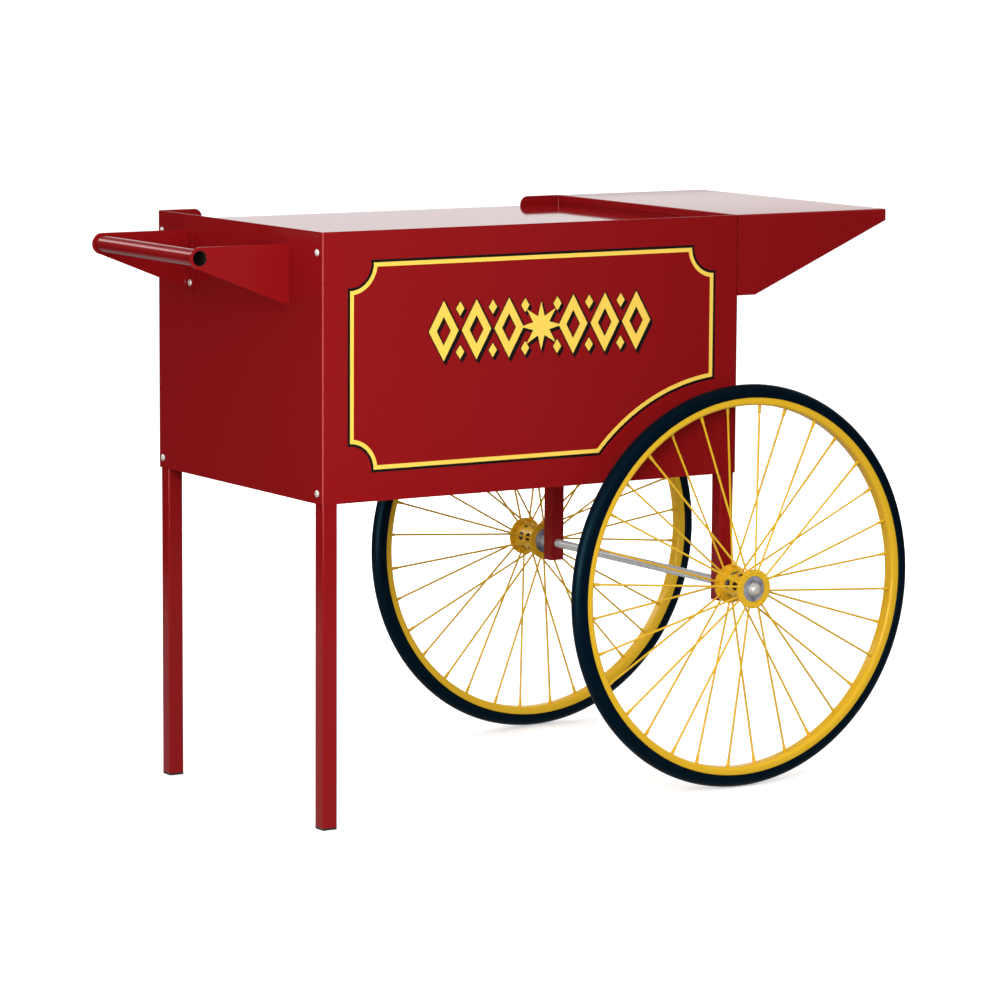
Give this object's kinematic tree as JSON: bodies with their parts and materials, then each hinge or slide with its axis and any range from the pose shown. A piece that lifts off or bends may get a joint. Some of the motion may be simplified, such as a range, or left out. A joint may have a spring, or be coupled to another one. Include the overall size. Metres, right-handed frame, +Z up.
{
  "type": "popcorn cart",
  "caption": "Red sheet-metal popcorn cart base: cabinet with recessed deck, side shelf, push handle, legs and large spoked wheels on one axle.",
  "frame": {"origin": "on the floor, below the middle of the whole cart's box", "axes": "+Z up; +X from the push handle towards the wheels and the serving shelf; -Y is the decorated front and +Y the operator's side"},
  "size_m": [1.073, 0.6004, 0.789],
  "materials": {
    "red_paint": "gloss red baked paint",
    "yellow_paint": "gloss yellow paint",
    "yellow_decal": "printed film",
    "black_decal": "printed film",
    "tyre_rubber": "smooth solid rubber",
    "axle_steel": "bright drawn steel",
    "zinc_steel": "zinc plated",
    "bearing_steel": "pressed steel, lightly oiled",
    "black_plastic": "moulded, satin"
  },
  "bodies": {
    "cart": {"front_panel": "red_paint", "back_panel": "red_paint", "left_end_panel": "red_paint", "right_end_panel": "red_paint", "deck": "red_paint", "floor_pan": "red_paint", "front_leg": "red_paint", "back_leg": "red_paint", "leg_feet": "black_plastic", "front_axle_post": "red_paint", "back_axle_post": "red_paint", "axle": "axle_steel", "axle_spacers": "axle_steel", "axle_washers": "zinc_steel", "axle_cap_nuts": "zinc_steel", "side_shelf": "red_paint", "shelf_screws": "zinc_steel", "left_panel_screws": "zinc_steel", "right_panel_screws": "zinc_steel", "handle_bar": "red_paint", "front_handle_bracket": "red_paint", "back_handle_bracket": "red_paint", "handle_screws": "zinc_steel", "stripe_decal": "yellow_decal", "stripe_outline_decal": "black_decal", "ornament_decal": "yellow_decal", "ornament_shadow_decal": "black_decal", "frame_hinge_leaves": "zinc_steel", "hinge_pins": "zinc_steel", "hinge_screws": "zinc_steel", "magnet_catch": "black_plastic", "catch_screws": "zinc_steel"},
    "door": {"door": "red_paint", "door_hinge_leaves": "zinc_steel", "door_knob": "black_plastic", "knob_screw": "zinc_steel", "strike_plate": "zinc_steel"},
    "front_wheel": {"front_tyre": "tyre_rubber", "front_rim": "yellow_paint", "front_spokes": "yellow_paint", "front_nipples": "yellow_paint", "front_hub": "yellow_paint", "front_bearings": "bearing_steel", "front_bearing_sleeve": "black_plastic"},
    "back_wheel": {"back_tyre": "tyre_rubber", "back_rim": "yellow_paint", "back_spokes": "yellow_paint", "back_nipples": "yellow_paint", "back_hub": "yellow_paint", "back_bearings": "bearing_steel", "back_bearing_sleeve": "black_plastic"}
  },
  "joints": [
    {"name": "front_wheel_spin", "type": "hinge", "parent": "cart", "child": "front_wheel", "pos_m": [0.25655, -0.263, 0.28], "axis": [0, 1, 0], "continuous": true},
    {"name": "back_wheel_spin", "type": "hinge", "parent": "cart", "child": "back_wheel", "pos_m": [0.25655, 0.263, 0.28], "axis": [0, 1, 0], "continuous": true},
    {"name": "door_hinge", "type": "hinge", "parent": "cart", "child": "door", "pos_m": [-0.32205, 0.2294, 0.613], "axis": [0, 0, 1], "range_deg": [0, 110]}
  ]
}
